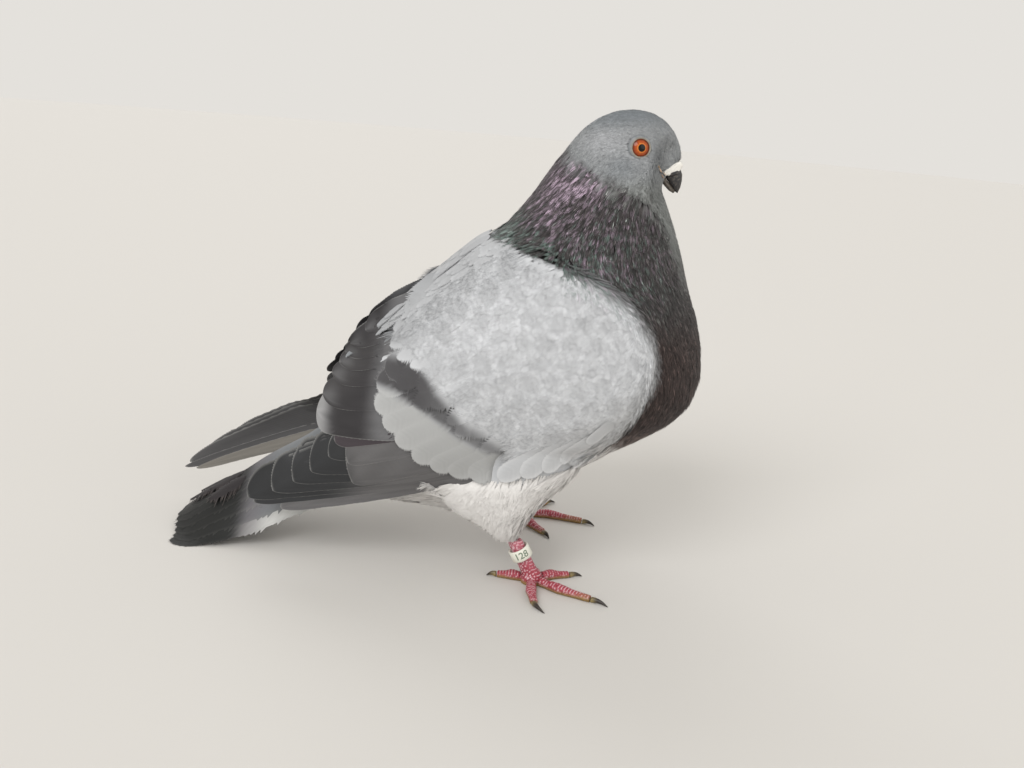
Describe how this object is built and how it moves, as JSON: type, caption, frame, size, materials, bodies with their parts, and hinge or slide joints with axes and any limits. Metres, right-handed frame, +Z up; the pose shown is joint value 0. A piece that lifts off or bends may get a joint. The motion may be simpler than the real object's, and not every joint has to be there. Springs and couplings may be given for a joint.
{
  "type": "pigeon",
  "caption": "Life-size still model of a standing grey blue-bar domestic pigeon, wings folded and head up, with a band on one leg, for display or set dressing.",
  "frame": {"origin": "on the floor, under the middle of the bird's bounding box", "axes": "+X the way the bird looks, from tail to bill; +Y to its left; +Z up from the floor it stands on"},
  "size_m": [0.3098, 0.1672, 0.2646],
  "materials": {
    "head_feather": "matte",
    "neck_feather": "satin",
    "body_feather": "matte",
    "belly_feather": "matte",
    "wing_feather": "matte",
    "tail_feather": "matte",
    "leg_scale": "satin",
    "claw_horn": "satin",
    "bill_horn": "satin",
    "cere_skin": "matte",
    "eye_iris": "gloss",
    "ring_plastic": "satin"
  },
  "bodies": {
    "root": {"head": "head_feather", "neck": "neck_feather", "trunk": "body_feather", "tail": "tail_feather", "wing_right": "wing_feather", "wing_left": "wing_feather", "thigh_right": "belly_feather", "thigh_left": "belly_feather", "tarsus_right": "leg_scale", "tarsus_left": "leg_scale", "toe_right_inner": "leg_scale", "toe_right_middle": "leg_scale", "toe_right_outer": "leg_scale", "toe_right_hind": "leg_scale", "toe_left_inner": "leg_scale", "toe_left_middle": "leg_scale", "toe_left_outer": "leg_scale", "toe_left_hind": "leg_scale", "claw_right_inner": "claw_horn", "claw_right_middle": "claw_horn", "claw_right_outer": "claw_horn", "claw_right_hind": "claw_horn", "claw_left_inner": "claw_horn", "claw_left_middle": "claw_horn", "claw_left_outer": "claw_horn", "claw_left_hind": "claw_horn", "eye_right": "eye_iris", "eye_left": "eye_iris", "cere": "cere_skin", "bill_upper": "bill_horn", "bill_lower": "bill_horn", "leg_ring": "ring_plastic"}
  },
  "joints": []
}
